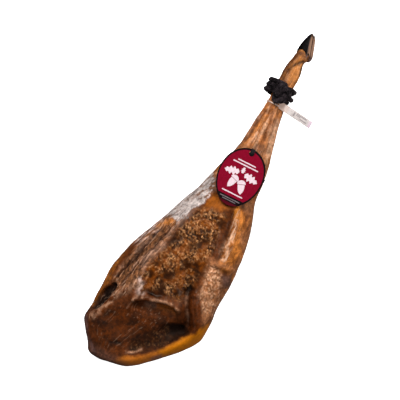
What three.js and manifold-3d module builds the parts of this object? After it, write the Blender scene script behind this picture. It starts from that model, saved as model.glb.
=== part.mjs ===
// A whole dry-cured ham with its foot on, lying on its skin side with the lean side up.
// Millimetres. X runs along the leg from the rump to the toes, Y across it, and Z up from the table.
// The ham is one solid: rings of points round the leg, one ring every few millimetres, with the forms
// of the lean side raised or sunk in them. The hoof, rope, seal and label are fitted round it.

import * as THREE from 'three';
import { ConvexGeometry } from 'three/addons/geometries/ConvexGeometry.js';
import { mergeVertices } from 'three/addons/utils/BufferGeometryUtils.js';
import Module from 'manifold-3d';

const wasm = await Module();
wasm.setup();
const { clamp, degToRad, lerp, smoothstep } = THREE.MathUtils;

// Driving dimensions
const LENGTH = 800; // rump to hoof tip
const RUMP_X = -LENGTH / 2;
const GAP = 0.3; // left between pieces that touch
const ROPE_DIAMETER = 10;
const HOOF_LENGTH = 58;
const LABEL_LENGTH = 125;
const LABEL_WIDTH = 94.5;
const SEAL_FLAG_WIDTH = 15;

// Sections of the leg. left and right are its edges seen from above, top and bottom its height,
// and edge is the height of its widest line. A bottom below the table is flattened on it.
const SECTIONS = [
  { name: 'rump tip', x: RUMP_X, left: 60, right: 50, top: 70, bottom: 62, edge: 66 },
  { name: 'rump face', x: -399, left: 67, right: 42, top: 78, bottom: 54, edge: 66 },
  { name: 'rump face', x: -396, left: 73, right: 27, top: 86, bottom: 46, edge: 65 },
  { name: 'rump face', x: -391, left: 78, right: 2, top: 93, bottom: 38, edge: 64 },
  { name: 'rump edge', x: -383, left: 82, right: -14, top: 99, bottom: 30, edge: 63 },
  { name: 'cut side', x: -367, left: 96, right: -34, top: 105, bottom: 20, edge: 61 },
  { name: 'cut side', x: -350, left: 111, right: -51, top: 107, bottom: 12, edge: 60 },
  { name: 'rump corner', x: -337, left: 119, right: -64, top: 109, bottom: 7, edge: 59 },
  { name: 'hip', x: -301, left: 115.5, right: -95, top: 113, bottom: 0, edge: 58 },
  { name: 'stifle', x: -256, left: 118, right: -118.5, top: 117, bottom: -4, edge: 57 },
  { name: 'widest', x: -226, left: 119.5, right: -118, top: 119, bottom: -5, edge: 57 },
  { name: 'thigh', x: -180, left: 112.5, right: -113.5, top: 120, bottom: -5, edge: 57 },
  { name: 'thigh', x: -136, left: 99.5, right: -114, top: 119, bottom: -4, edge: 57 },
  { name: 'thigh', x: -86, left: 80, right: -108, top: 115, bottom: -1, edge: 58 },
  { name: 'thigh', x: -37, left: 63.5, right: -100, top: 110, bottom: 5, edge: 60 },
  { name: 'knuckle', x: 12, left: 45.5, right: -83, top: 105, bottom: 13, edge: 62 },
  { name: 'hock', x: 45, left: 37, right: -70.5, top: 100, bottom: 20, edge: 63 },
  { name: 'hock', x: 80, left: 29, right: -67.5, top: 97, bottom: 28, edge: 65 },
  { name: 'shank', x: 127, left: 17.5, right: -56, top: 92, bottom: 38, edge: 66 },
  { name: 'shank', x: 160, left: 15, right: -45.5, top: 89, bottom: 44, edge: 67 },
  { name: 'shank', x: 200, left: 12.5, right: -34.5, top: 86, bottom: 49, edge: 68 },
  { name: 'ankle', x: 235, left: 11, right: -26.5, top: 84, bottom: 52, edge: 68 },
  { name: 'ankle', x: 262, left: 11.5, right: -22, top: 83, bottom: 53, edge: 68 },
  { name: 'fetlock', x: 292, left: 15, right: -23.5, top: 85, bottom: 51, edge: 68 },
  { name: 'fetlock', x: 316, left: 14, right: -22, top: 85, bottom: 51, edge: 68 },
  { name: 'pastern', x: 334, left: 12, right: -15.5, top: 84, bottom: 51, edge: 68 },
  { name: 'heel', x: 344, left: 10.5, right: -20, top: 83, bottom: 52, edge: 68 },
  { name: 'coronet', x: 353, left: 9, right: -18, top: 81, bottom: 54, edge: 68 },
  { name: 'toe core', x: 362, left: 5, right: -12, top: 77, bottom: 58, edge: 68 },
  { name: 'toe core', x: 368, left: -2, right: -5, top: 70, bottom: 66, edge: 68 },
];

// Forms of the lean side: each line runs over the plan as seen from VIEW, rises by height, or sinks
// where that is negative, and fades out at about twice its reach to either side.
const VIEW = { x: -13, y: 29.6, edgeZ: 62, distance: 3000 }; // true to size at the height edgeZ
const LEAN_FORMS = [
  { name: 'crest beside the rump', line: [[-328, 104], [-290, 97], [-262, 84], [-240, 66], [-212, 57]], reach: 13, height: 8 },
  { name: 'pit under the left rim', line: [[-308, 111], [-284, 107], [-258, 99]], reach: 8, height: -14 },
  { name: 'groove inside the left rim', line: [[-235, 101], [-190, 89], [-137, 78], [-95, 66]], reach: 9, height: -6 },
  { name: 'edge of the middle muscle', line: [[-190, 58], [-150, 51], [-107, 49], [-50, 34], [10, 19]], reach: 14, height: 5 },
  { name: 'aitch bone crest', line: [[-261, 44], [-245, 25], [-233, -8], [-232, -43]], reach: 11, height: 11 },
  { name: 'hollow under the crest', line: [[-270, 30], [-257, 2], [-250, -30]], reach: 12, height: -9 },
  { name: 'basin of the rump', line: [[-318, 38], [-300, 0]], reach: 34, height: -9 },
  { name: 'groove beside the lobe', line: [[-150, -32], [-184, -41], [-222, -60], [-252, -80]], reach: 11, height: -12 },
  { name: 'right lobe', line: [[-196, -60], [-222, -78], [-248, -95]], reach: 15, height: 10 },
  { name: 'deep hollow', line: [[-284, -46], [-265, -66]], reach: 15, height: -14 },
  { name: 'trough inside the fat', line: [[-266, -76], [-302, -50], [-350, -4]], reach: 11, height: -8 },
  { name: 'roll of fat', line: [[-212, -107], [-250, -105], [-282, -92], [-320, -66], [-374, -4]], reach: 12, height: 7 },
  { name: 'ridge along the thigh', line: [[14, -44], [-23, -60], [-63, -73], [-96, -80]], reach: 12, height: 7 },
  { name: 'fold across the thigh', line: [[-112, -50], [-112, -76], [-106, -98]], reach: 9, height: 4 },
  { name: 'tendon', line: [[236, -12], [158, -21], [97, -32], [40, -38]], reach: 9, height: 4 },
  { name: 'hollow beside the tendon', line: [[220, 0], [150, -4], [70, -8]], reach: 8, height: -3 },
  { name: 'pastern fold', line: [[302, 5], [318, -3], [330, -12]], reach: 8, height: -4 },
];

// Curved values along the leg

// A curve through the points (xs, ys) that never overshoots them: each slope is held to what its
// two neighbouring steps allow.
function curveThrough(xs, ys) {
  const steps = xs.slice(1).map((x, i) => (ys[i + 1] - ys[i]) / (x - xs[i]));
  const slopes = xs.map((_, i) => {
    if (i === 0) return steps[0];
    if (i === xs.length - 1) return steps[i - 1];
    const [before, after] = [steps[i - 1], steps[i]];
    return before * after <= 0 ? 0 : (2 * before * after) / (before + after);
  });
  return (x) => {
    let i = 0;
    while (i < xs.length - 2 && x > xs[i + 1]) i++;
    const h = xs[i + 1] - xs[i];
    const t = clamp((x - xs[i]) / h, 0, 1);
    const [t2, t3] = [t * t, t * t * t];
    return (
      ys[i] * (2 * t3 - 3 * t2 + 1) +
      slopes[i] * h * (t3 - 2 * t2 + t) +
      ys[i + 1] * (3 * t2 - 2 * t3) +
      slopes[i + 1] * h * (t3 - t2)
    );
  };
}

const sectionXs = SECTIONS.map((s) => s.x);
const [leftAt, rightAt, topAt, bottomAt, edgeAt] = ['left', 'right', 'top', 'bottom', 'edge'].map(
  (key) => curveThrough(sectionXs, SECTIONS.map((s) => s[key])),
);
const LAST_X = sectionXs.at(-1);

function distanceToLine(x, y, line) {
  let nearest = Infinity;
  for (let i = 1; i < line.length; i++) {
    const [ax, ay] = line[i - 1];
    const [dx, dy] = [line[i][0] - ax, line[i][1] - ay];
    const t = clamp(((x - ax) * dx + (y - ay) * dy) / (dx * dx + dy * dy), 0, 1);
    nearest = Math.min(nearest, Math.hypot(x - ax - t * dx, y - ay - t * dy));
  }
  return nearest;
}

function leanHeight(point) {
  const spread = 1 + (point.z - VIEW.edgeZ) / VIEW.distance;
  const [x, y] = [lerp(VIEW.x, point.x, spread), lerp(VIEW.y, point.y, spread)];
  return LEAN_FORMS.reduce(
    (sum, form) => sum + form.height * Math.exp(-((distanceToLine(x, y, form.line) / form.reach) ** 2)),
    0,
  );
}

// The plain section of the ham at x along the leg and angle round it: 0 at the left edge, a
// quarter turn at the top. It is an ellipse whose lean half is squared off by a power below 1,
// less and less along the shank.
const LEAN_SQUARING = 0.76;
const SHANK_START_X = 40;
const SHANK_ROUND_X = 180;

const leanPower = (x) => lerp(LEAN_SQUARING, 1, smoothstep(x, SHANK_START_X, SHANK_ROUND_X));

function sectionPoint(x, angle) {
  const [left, right, edge] = [leftAt(x), rightAt(x), edgeAt(x)];
  const [c, s] = [Math.cos(angle), Math.sin(angle)];
  const power = s < 0 ? 1 : leanPower(x);
  const y = (left + right) / 2 + ((left - right) / 2) * Math.sign(c) * Math.abs(c) ** power;
  const z = s < 0 ? edge + (edge - bottomAt(x)) * s : edge + (topAt(x) - edge) * s ** power;
  return new THREE.Vector3(x, y, Math.max(0, z));
}

// The ham's surface: the plain section with the forms of the lean side on it.
function hamPoint(x, angle) {
  const point = sectionPoint(x, angle);
  point.z += smoothstep(Math.sin(angle), 0, 0.45) * leanHeight(point);
  return point;
}

// Solids from rings, and joining and cutting

// A closed solid through rings of points. Rings run one after another along the piece, each the
// same number of points, and each end closes on a point of its own, or the last ring on the first.
// Each quad is split along its shorter diagonal.
function ringSolid(rings, ends) {
  const count = rings[0].length;
  const points = rings.flat();
  const triangles = [];
  const at = (ring, i) => (ring % rings.length) * count + (i % count);
  const spans = ends ? rings.length - 1 : rings.length;
  for (let r = 0; r < spans; r++) {
    for (let i = 0; i < count; i++) {
      const [a, b, c, d] = [at(r, i), at(r + 1, i), at(r + 1, i + 1), at(r, i + 1)];
      const acrossBD = points[b].distanceTo(points[d]) < points[a].distanceTo(points[c]);
      triangles.push(...(acrossBD ? [a, d, b, b, d, c] : [a, c, b, a, d, c]));
    }
  }
  if (ends) {
    const [start, finish] = [points.length, points.length + 1];
    points.push(ends[0], ends[1]);
    for (let i = 0; i < count; i++) {
      triangles.push(start, at(0, i + 1), at(0, i));
      triangles.push(finish, at(rings.length - 1, i), at(rings.length - 1, i + 1));
    }
  }
  const geometry = new THREE.BufferGeometry().setFromPoints(points);
  geometry.setIndex(triangles);
  return geometry;
}

const middleOf = (ring) => ring.reduce((sum, p) => sum.add(p), new THREE.Vector3()).divideScalar(ring.length);

function toSolid(geometry) {
  const bare = geometry.clone();
  bare.deleteAttribute('normal');
  bare.deleteAttribute('uv');
  const merged = mergeVertices(bare, 1e-3);
  const solid = new wasm.Manifold(new wasm.Mesh({
    numProp: 3,
    vertProperties: merged.attributes.position.array,
    triVerts: new Uint32Array(merged.index.array),
  }));
  if (solid.volume() > 0) return solid;
  const turned = merged.index.array.slice();
  for (let i = 0; i < turned.length; i += 3) [turned[i], turned[i + 1]] = [turned[i + 1], turned[i]];
  merged.setIndex(new THREE.BufferAttribute(turned, 1));
  return toSolid(merged);
}

function toGeometry(solid) {
  const mesh = solid.getMesh();
  const geometry = new THREE.BufferGeometry();
  geometry.setAttribute('position', new THREE.BufferAttribute(new Float32Array(mesh.vertProperties), 3));
  geometry.setIndex(new THREE.BufferAttribute(new Uint32Array(mesh.triVerts), 1));
  geometry.computeVertexNormals();
  return geometry;
}

// The largest body of a solid, without the scraps that a cut leaves.
const mainBody = (solid) => solid.decompose().sort((a, b) => b.volume() - a.volume())[0];

const joinAll = (geometries) => geometries.map(toSolid).reduce((whole, next) => whole.add(next));

// The ham
const LEAN_POINTS = 34; // of a ring on its upper half
const SKIN_POINTS = 22; // of a ring on its lower half
const BODY_STEP = 11;
const LEG_STEP = 14;

// Rings crowd together at the blunt rump, are even along the body and wider apart on the leg.
function ringPlaces() {
  const places = [];
  let [x, step] = [RUMP_X, 1];
  while (x + step < LAST_X - step / 2) {
    x += step;
    places.push(x);
    step = Math.min(step + 2, x < SHANK_START_X ? BODY_STEP : LEG_STEP);
    if (x > LAST_X - 3 * LEG_STEP) step = LEG_STEP / 2;
  }
  return places;
}

// Angles of count points that lie evenly along the plain section, from one angle up to another.
function evenAngles(x, from, to, count) {
  const tries = Array.from({ length: 161 }, (_, i) => lerp(from, to, i / 160));
  const points = tries.map((angle) => sectionPoint(x, angle));
  const lengths = [0];
  for (let i = 1; i < points.length; i++) lengths.push(lengths[i - 1] + points[i].distanceTo(points[i - 1]));
  return Array.from({ length: count }, (_, k) => {
    const wanted = (lengths.at(-1) * k) / count;
    const i = Math.max(1, lengths.findIndex((length) => length >= wanted));
    return lerp(tries[i - 1], tries[i], (wanted - lengths[i - 1]) / (lengths[i] - lengths[i - 1]));
  });
}

function hamRing(x) {
  const angles = [
    ...evenAngles(x, 0, Math.PI, LEAN_POINTS),
    ...evenAngles(x, Math.PI, 2 * Math.PI, SKIN_POINTS),
  ];
  return angles.map((angle) => hamPoint(x, angle));
}

function hamGeometry() {
  return ringSolid(ringPlaces().map(hamRing), [
    new THREE.Vector3(RUMP_X, (leftAt(RUMP_X) + rightAt(RUMP_X)) / 2, edgeAt(RUMP_X)),
    new THREE.Vector3(LAST_X, (leftAt(LAST_X) + rightAt(LAST_X)) / 2, edgeAt(LAST_X)),
  ]);
}

// A copy of a closed surface, moved outwards by a distance.
function grown(geometry, distance) {
  const copy = geometry.clone();
  copy.computeVertexNormals();
  const { position, normal } = copy.attributes;
  for (let i = 0; i < position.count; i++) {
    const point = new THREE.Vector3().fromBufferAttribute(position, i);
    point.addScaledVector(new THREE.Vector3().fromBufferAttribute(normal, i), distance);
    position.setXYZ(i, ...point);
  }
  return copy;
}

const ham = hamGeometry();
const grownHam = toSolid(grown(ham, GAP));

// The height of the lean side over a place in the plan.
function heightOver(x, y) {
  const [left, right] = [leftAt(x), rightAt(x)];
  const across = clamp((2 * y - left - right) / (left - right), -1, 1);
  return hamPoint(x, Math.acos(Math.sign(across) * Math.abs(across) ** (1 / leanPower(x)))).z;
}

// The hoof: two claws side by side. In a claw's own frame u runs along the sole from heel to toe,
// v from the sole to the front of the foot, and w across the foot.
const CLAW_WIDTH = 18;
const CLAW_HEIGHT = 27.8;
const CLAW_TALLEST_U = 18;
const CLAW_TIP_HEIGHT = 5;
const CLAW_SHORTER = 2; // the lower claw, than the upper
const HEEL_LIFT = 5;
const HEEL_END_U = 12;
const CLAW_SPREAD = 0.015; // radians that each claw's inner wall turns out from the middle of the foot
const HEEL = new THREE.Vector3(345.4, -23.1, 66);
const FOOT_TURN = degToRad(20); // of the sole, from the leg's own line
const FOOT_TILT = degToRad(23); // of the sole, up towards the lean side

function clawHeight(u, length) {
  if (u < CLAW_TALLEST_U) return CLAW_HEIGHT * (1 - ((CLAW_TALLEST_U - u) / 25) ** 2);
  const towardsTip = (u - CLAW_TALLEST_U) / (length - CLAW_TALLEST_U);
  return lerp(CLAW_HEIGHT, CLAW_TIP_HEIGHT, towardsTip ** 1.35);
}

const soleHeight = (u) => HEEL_LIFT * Math.max(0, 1 - u / HEEL_END_U) ** 2;

function clawHalfWidth(u, length) {
  return (CLAW_WIDTH / 2) * smoothstep(u, -12, 12) * Math.sqrt(1 - (u / (length + 2)) ** 5);
}

// Towards the toe only the outer wall curves in, so the two tips end side by side.
const clawMiddle = (u, length) =>
  GAP + u * CLAW_SPREAD + (u < CLAW_TALLEST_U ? CLAW_WIDTH / 2 : clawHalfWidth(u, length));

function clawGeometry(side) {
  const length = side > 0 ? HOOF_LENGTH : HOOF_LENGTH - CLAW_SHORTER;
  const points = [];
  for (let i = 0; i <= 10; i++) {
    const u = (i / 10) * length;
    const middle = side * clawMiddle(u, length);
    for (let k = 0; k <= 10; k++) {
      const a = (k / 10) * Math.PI;
      const v = lerp(soleHeight(u), clawHeight(u, length), Math.sin(a) ** 0.7);
      points.push(new THREE.Vector3(u, v, middle + Math.cos(a) * clawHalfWidth(u, length)));
    }
  }
  const along = new THREE.Vector3(Math.cos(FOOT_TURN), Math.sin(FOOT_TURN), 0);
  const level = new THREE.Vector3(-Math.sin(FOOT_TURN), Math.cos(FOOT_TURN), 0);
  const front = level.clone().multiplyScalar(Math.cos(FOOT_TILT)).setZ(-Math.sin(FOOT_TILT));
  const placed = new THREE.Matrix4().makeBasis(along, front, along.clone().cross(front)).setPosition(HEEL);
  return new ConvexGeometry(points).applyMatrix4(placed);
}

const cutClaw = (side) => toGeometry(mainBody(toSolid(clawGeometry(side)).subtract(grownHam)));

// The rope: turns round the ankle, a knot on top of them and two cut ends.
const ROPE_SIDES = 7;
const ROPE_STEP = 8; // between the rings of its tube
const ROPE_TURNS = 3;
const TURNS_START = new THREE.Vector3(247, 1, 68);
const TURNS_RADIUS_Y = 26; // loose on the left of the ankle
const TURNS_RADIUS_Z = 20;
const KNOT = { x: 258, y: -7, z: 97 };
const KNOT_SCALE = { x: 7.2, y: 5.2, z: 6.5 };
const KNOT_HEART = { x: 16, y: 12, z: 9 }; // half sizes of the packed middle of the knot
const ROPE_ENDS = [
  [[264, -7, 98], [272, -14, 97], [273.5, -23, 95], [271.4, -30, 92]],
  [[254, -7, 97], [256.5, -19, 95.5], [256.5, -27, 93], [256.1, -32.6, 90]],
];

// A tube of round section along a curve, as one solid with closed ends.
function tube(curve, diameter) {
  const section = new THREE.Shape();
  for (let i = 0; i < ROPE_SIDES; i++) {
    const a = (i / ROPE_SIDES) * 2 * Math.PI;
    const [px, py] = [(diameter / 2) * Math.cos(a), (diameter / 2) * Math.sin(a)];
    if (i === 0) section.moveTo(px, py);
    else section.lineTo(px, py);
  }
  section.closePath();
  const steps = Math.max(2, Math.round(curve.getLength() / ROPE_STEP));
  return new THREE.ExtrudeGeometry(section, { steps, extrudePath: curve, bevelEnabled: false });
}

class RopeTurns extends THREE.Curve {
  getPoint(t, target = new THREE.Vector3()) {
    const turned = t * ROPE_TURNS;
    const angle = Math.PI / 2 + turned * 2 * Math.PI;
    return target.set(
      TURNS_START.x + turned * (ROPE_DIAMETER + GAP),
      TURNS_START.y + TURNS_RADIUS_Y * Math.cos(angle),
      TURNS_START.z + TURNS_RADIUS_Z * Math.sin(angle),
    );
  }
}

// Half of a trefoil knot, run a little past each end so that the two halves join.
class KnotHalf extends THREE.Curve {
  constructor(half) {
    super();
    this.start = half * Math.PI - 0.08;
  }

  getPoint(t, target = new THREE.Vector3()) {
    const a = this.start + t * (Math.PI + 0.16);
    return target.set(
      KNOT.x + KNOT_SCALE.x * (Math.sin(a) + 2 * Math.sin(2 * a)),
      KNOT.y + KNOT_SCALE.y * (Math.cos(a) - 2 * Math.cos(2 * a)),
      KNOT.z - KNOT_SCALE.z * Math.sin(3 * a),
    );
  }
}

function ropeGeometry() {
  const ends = ROPE_ENDS.map((line) => new THREE.CatmullRomCurve3(line.map((p) => new THREE.Vector3(...p))));
  const strands = [new RopeTurns(), new KnotHalf(0), new KnotHalf(1), ...ends];
  const heart = new THREE.SphereGeometry(1, 10, 6)
    .scale(KNOT_HEART.x, KNOT_HEART.y, KNOT_HEART.z)
    .translate(KNOT.x, KNOT.y, KNOT.z - 2);
  const solid = joinAll([heart, ...strands.map((strand) => tube(strand, ROPE_DIAMETER))]);
  return toGeometry(mainBody(solid.subtract(grownHam)));
}

// Flat strips and bands
const RING_STEP = 0.05; // radians to either side, for a direction round the leg

function flatRing(centre, across, up) {
  return [[1, 1], [-1, 1], [-1, -1], [1, -1]].map(([a, b]) =>
    centre.clone().addScaledVector(across, a).addScaledVector(up, b));
}

function outwardAt(x, angle) {
  const along = hamPoint(x + 1, angle).sub(hamPoint(x - 1, angle));
  const round = hamPoint(x, angle + RING_STEP).sub(hamPoint(x, angle - RING_STEP));
  return along.cross(round).normalize().negate();
}

// A flat band laid on the ham's skin along a closed line round the leg.
function bandGeometry(lineX, width, thickness, lift, count) {
  const onLine = (angle) => hamPoint(lineX(angle), angle);
  const rings = Array.from({ length: count }, (_, i) => {
    const angle = (i / count) * 2 * Math.PI;
    const out = outwardAt(lineX(angle), angle);
    const along = onLine(angle + RING_STEP).sub(onLine(angle - RING_STEP)).normalize();
    const across = along.cross(out).normalize().multiplyScalar(width / 2);
    const centre = onLine(angle).addScaledVector(out, lift + thickness / 2);
    return flatRing(centre, across, out.clone().multiplyScalar(thickness / 2));
  });
  return ringSolid(rings);
}

function stripGeometry(points, width, thickness, across, steps) {
  const curve = new THREE.CatmullRomCurve3(points);
  const rings = curve.getSpacedPoints(steps).map((centre, i) => {
    const up = across.clone().cross(curve.getTangentAt(i / steps)).normalize();
    return flatRing(centre, across.clone().multiplyScalar(width / 2), up.multiplyScalar(thickness / 2));
  });
  return ringSolid(rings, [middleOf(rings[0]), middleOf(rings.at(-1))]);
}

// The seal: a thin strap round the ankle, with a flag that stands out to the right.
const STRAP = { x: 233.5, width: 3.2, thickness: 1.4, lift: 0.6 };
const FLAG_THICKNESS = 1;
const FLAG_LINE = [
  [237, -8, 86.6], [237, -20, 85.6], [236, -40, 82], [235, -64, 78], [233.5, -91, 74],
].map((p) => new THREE.Vector3(...p));

function sealGeometry(rope) {
  const strap = bandGeometry(() => STRAP.x, STRAP.width, STRAP.thickness, STRAP.lift, 40);
  const flag = stripGeometry(FLAG_LINE, SEAL_FLAG_WIDTH, FLAG_THICKNESS, new THREE.Vector3(1, 0, 0), 16);
  return toGeometry(mainBody(joinAll([strap, flag]).subtract(grownHam).subtract(toSolid(rope))));
}

// The label: an oval card on the shank, held by a flat elastic band round the leg. In the card's
// own frame x runs along it towards its hole, and z is 0 on its back.
const LABEL = { x: 67.8, y: -18, thickness: 1.6, holeInset: 9, holeRadius: 5.8, narrowing: 0.05 };
const BAND = { x: 84, width: 10, thickness: 1.2, lift: 0.9, rise: 26 };
const CARD_OUTLINE_POINTS = 60;
const CARD_TURN = degToRad(3.5);
const CARD_REST = 50; // from the card's middle to where the ham's height is taken for its pitch
const CARD_PITCH = Math.atan2(
  heightOver(LABEL.x - CARD_REST, LABEL.y) - heightOver(LABEL.x + CARD_REST, LABEL.y),
  2 * CARD_REST,
);
const CARD_CLEARANCE = BAND.thickness + BAND.lift + 1.2;

// The lowest height at which the tilted card clears the ham everywhere.
function cardHeight() {
  const { position } = ham.attributes;
  let height = 0;
  for (let i = 0; i < position.count; i++) {
    const [dx, dy] = [position.getX(i) - LABEL.x, position.getY(i) - LABEL.y];
    if (Math.hypot(dx / LABEL_LENGTH, dy / LABEL_WIDTH) > 0.53) continue;
    height = Math.max(height, position.getZ(i) + dx * Math.tan(CARD_PITCH));
  }
  return height + CARD_CLEARANCE;
}

const CARD_PLACE = new THREE.Matrix4()
  .makeTranslation(LABEL.x, LABEL.y, cardHeight())
  .multiply(new THREE.Matrix4().makeRotationZ(CARD_TURN))
  .multiply(new THREE.Matrix4().makeRotationY(CARD_PITCH));

// The card, or one grown by a gap on its two faces, to cut the band that goes round it.
function cardGeometry(gap = 0) {
  const outline = Array.from({ length: CARD_OUTLINE_POINTS }, (_, i) => {
    const a = (i / CARD_OUTLINE_POINTS) * 2 * Math.PI;
    const width = LABEL_WIDTH * (1 + LABEL.narrowing * Math.cos(a));
    return new THREE.Vector2((LABEL_LENGTH / 2) * Math.cos(a), (width / 2) * Math.sin(a));
  });
  const card = new THREE.Shape(outline);
  const hole = new THREE.Path();
  hole.absellipse(LABEL_LENGTH / 2 - LABEL.holeInset, 0, LABEL.holeRadius, LABEL.holeRadius, 0, 2 * Math.PI);
  card.holes.push(hole);
  return new THREE.ExtrudeGeometry(card, { depth: LABEL.thickness + 2 * gap, curveSegments: 20, bevelEnabled: false })
    .translate(0, 0, -gap)
    .applyMatrix4(CARD_PLACE);
}

// The band lies on the skin, and under the card it runs towards the hole. A loop of it goes
// through the hole and over the card's edge, and both its ends lie on the band.
const bandX = (angle) => BAND.x + BAND.rise * smoothstep(Math.sin(angle), 0.35, 1);

function labelBandGeometry() {
  const edge = LABEL_LENGTH / 2;
  const hole = edge - LABEL.holeInset;
  const under = -GAP - BAND.thickness;
  const over = LABEL.thickness + GAP + BAND.thickness / 2;
  const onCard = ([x, z]) => new THREE.Vector3(x, 0, z).applyMatrix4(CARD_PLACE);
  const onBand = onCard([BAND.x + BAND.rise - LABEL.x, 0]);
  onBand.z = heightOver(onBand.x, onBand.y) + BAND.lift + BAND.thickness / 2;
  const loop = [
    onBand,
    ...[[hole - 1, over / 2], [hole + 3, over], [edge - 3, over], [edge + 2, over / 2], [edge - 1, under]].map(onCard),
    onBand.clone().add(new THREE.Vector3(2, 0, 0)),
  ];
  const across = new THREE.Vector3(0, 1, 0).transformDirection(CARD_PLACE);
  const solid = joinAll([
    bandGeometry(bandX, BAND.width, BAND.thickness, BAND.lift, 44),
    stripGeometry(loop, BAND.width, BAND.thickness, across, 28),
  ]);
  return toGeometry(mainBody(solid.subtract(grownHam).subtract(toSolid(cardGeometry(GAP)))));
}

// The finished group
const material = (color, roughness) => new THREE.MeshStandardMaterial({ color, roughness, metalness: 0 });
const horn = material(0x2a2422, 0.5);
const rope = ropeGeometry();
const part = new THREE.Group();

function addMesh(name, geometry, look) {
  const mesh = new THREE.Mesh(geometry, look);
  mesh.name = name;
  part.add(mesh);
}

addMesh('ham', ham, material(0x6b3a1a, 0.45));
addMesh('hoof_claw_upper', cutClaw(1), horn);
addMesh('hoof_claw_lower', cutClaw(-1), horn);
addMesh('rope', rope, material(0x141214, 0.9));
addMesh('seal_tag', sealGeometry(rope), material(0xe9e4e2, 0.4));
addMesh('label_card', cardGeometry(), material(0x7a0d2c, 0.35));
addMesh('label_band', labelBandGeometry(), material(0x0f0d0e, 0.8));

export default part;
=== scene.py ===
import math

import bmesh
import bpy
import numpy as np
from mathutils import Matrix, Vector
from mathutils.bvhtree import BVHTree


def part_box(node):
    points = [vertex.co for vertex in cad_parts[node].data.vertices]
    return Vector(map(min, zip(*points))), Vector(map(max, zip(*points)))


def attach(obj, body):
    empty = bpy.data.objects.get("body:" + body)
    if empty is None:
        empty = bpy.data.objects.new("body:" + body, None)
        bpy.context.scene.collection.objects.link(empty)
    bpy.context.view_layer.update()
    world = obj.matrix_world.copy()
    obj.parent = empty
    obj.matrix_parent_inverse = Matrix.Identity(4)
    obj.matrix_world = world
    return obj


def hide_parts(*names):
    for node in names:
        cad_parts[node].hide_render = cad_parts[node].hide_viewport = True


MM = 0.001

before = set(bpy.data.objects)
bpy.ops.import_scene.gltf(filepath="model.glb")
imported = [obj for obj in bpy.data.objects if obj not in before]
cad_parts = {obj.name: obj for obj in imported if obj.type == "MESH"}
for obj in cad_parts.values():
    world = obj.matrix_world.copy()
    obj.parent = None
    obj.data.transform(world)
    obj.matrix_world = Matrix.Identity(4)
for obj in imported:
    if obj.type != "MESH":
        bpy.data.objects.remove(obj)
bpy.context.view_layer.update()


# Camera, lights and background

SILHOUETTE_Z = 62  # the height at which the picture's outline is true to size
FRAME_WIDTH = 825  # of the picture, at that height
CAMERA_DISTANCE = 3000
SENSOR = 36
VIEW_CENTRE = (-13.0, 29.6)
LEG_ANGLE = math.radians(60)  # of the leg's +X in the picture, from the horizontal

camera = bpy.data.objects.new("camera", bpy.data.cameras.new("camera"))
camera.data.sensor_width = SENSOR
camera.data.lens = SENSOR * CAMERA_DISTANCE / FRAME_WIDTH
camera.data.clip_end = 20
picture_right = Vector((math.cos(LEG_ANGLE), -math.sin(LEG_ANGLE), 0))
picture_up = Vector((math.sin(LEG_ANGLE), math.cos(LEG_ANGLE), 0))
camera.matrix_world = Matrix.Translation(
    Vector((*VIEW_CENTRE, SILHOUETTE_Z + CAMERA_DISTANCE)) * MM
) @ Matrix((picture_right, picture_up, Vector((0, 0, 1)))).transposed().to_4x4()
bpy.context.scene.collection.objects.link(camera)
bpy.context.scene.camera = camera
bpy.context.scene.view_settings.view_transform = "Standard"


def add_area_light(name, towards, distance_m, size_m, watts):
    """A square soft light that stands off from the ham in a direction and looks at it."""
    light = bpy.data.lights.new(name, "AREA")
    light.size = size_m
    light.energy = watts
    lamp = bpy.data.objects.new(name, light)
    direction = Vector(towards).normalized()
    lamp.location = direction * distance_m
    lamp.rotation_euler = direction.to_track_quat("Z", "Y").to_euler()
    bpy.context.scene.collection.objects.link(lamp)


sky = Vector((0, 0, 1))
key_side = picture_up * 0.9 - picture_right * 0.3 + sky * 1.2
flank_side = picture_right + picture_up * 0.1 + sky * 0.9
fill_side = sky * 0.9 - picture_up * 0.8 - picture_right * 0.8
add_area_light("key", key_side, distance_m=1.9, size_m=0.6, watts=36)
add_area_light("side", flank_side, distance_m=2.0, size_m=0.8, watts=24)
add_area_light("fill", fill_side, distance_m=2.0, size_m=1.0, watts=4)

WORLD_STRENGTH = 0.08
world = bpy.data.worlds.new("studio")
world.use_nodes = True
world.node_tree.nodes["Background"].inputs["Color"].default_value = (1, 1, 1, 1)
world.node_tree.nodes["Background"].inputs["Strength"].default_value = WORLD_STRENGTH
bpy.context.scene.world = world


# Smooth noise, and shapes in the plan

class Noise:
    """Smooth noise, from about -1 to 1. The size of its cells may differ along each axis."""

    def __init__(self, seed):
        draw = np.random.default_rng(seed)
        self.order = draw.permutation(256)
        slopes = draw.normal(size=(256, 3))
        self.slopes = slopes / np.linalg.norm(slopes, axis=1)[:, None]

    def __call__(self, points, size):
        cells = points / np.asarray(size, float)
        base = np.floor(cells).astype(int)
        part = cells - base
        ease = part**3 * (part * (part * 6 - 15) + 10)
        total = np.zeros(len(points))
        for corner in np.ndindex(2, 2, 2):
            corner = np.array(corner)
            at = (base + corner) % 256
            key = self.order[(self.order[at[:, 0]] + at[:, 1]) % 256]
            key = self.order[(key + at[:, 2]) % 256]
            value = ((part - corner) * self.slopes[key]).sum(1)
            total += value * np.where(corner == 1, ease, 1 - ease).prod(1)
        return total * 1.7


def ramp(value, low, high):
    """0 up to low, 1 from high on, and a smooth rise between them."""
    t = np.clip((value - low) / (high - low), 0, 1)
    return t * t * (3 - 2 * t)


def distance_to_line(plan, line):
    nearest = np.full(len(plan), np.inf)
    for start, end in zip(line[:-1], line[1:]):
        start = np.array(start, float)
        step = np.array(end, float) - start
        share = np.clip(((plan - start) @ step) / (step @ step), 0, 1)
        away = plan - start - share[:, None] * step
        nearest = np.minimum(nearest, np.hypot(*away.T))
    return nearest


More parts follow.
